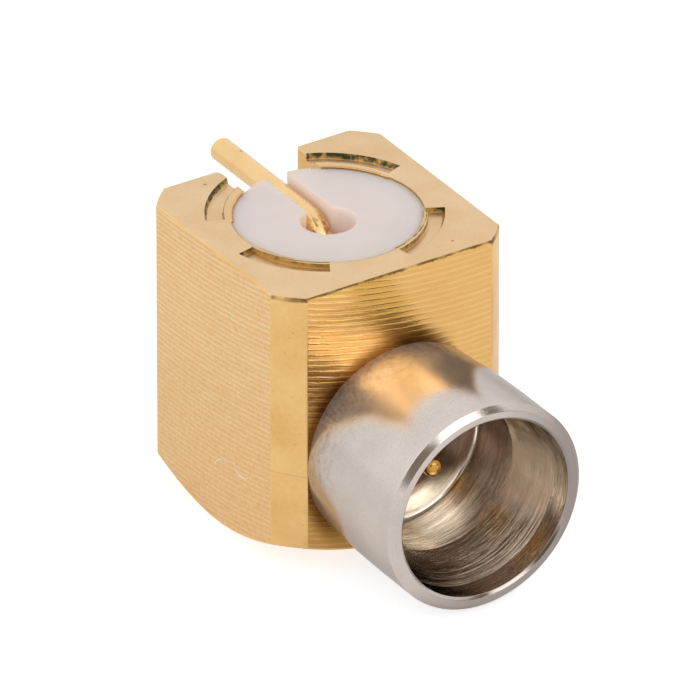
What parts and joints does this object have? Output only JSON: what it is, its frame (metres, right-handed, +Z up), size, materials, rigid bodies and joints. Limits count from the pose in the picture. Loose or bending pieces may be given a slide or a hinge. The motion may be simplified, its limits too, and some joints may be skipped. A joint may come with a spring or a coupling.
{
  "type": "right-angle SMPM connector",
  "caption": "Gold-plated square-bodied right-angle SMPM connector with a nickel shroud, staked insulator disc and bent wire tail.",
  "frame": {"origin": "centre of the body's round base", "axes": "+Z up through the body to its board face, -Y out of the mating sleeve, +Y along the tail lead"},
  "size_m": [0.0038, 0.0071, 0.0045],
  "materials": {
    "gold_body": "milled, gold plated",
    "nickel_sleeve": "turned, fine satin",
    "white_insulator": "satin, slightly translucent",
    "gold_contact": "smooth, gold plated"
  },
  "bodies": {
    "root": {"body": "gold_body", "sleeve": "nickel_sleeve", "front_insulator": "white_insulator", "front_contact": "gold_contact", "tail_contact": "gold_contact", "rear_insulator": "white_insulator"}
  },
  "joints": []
}
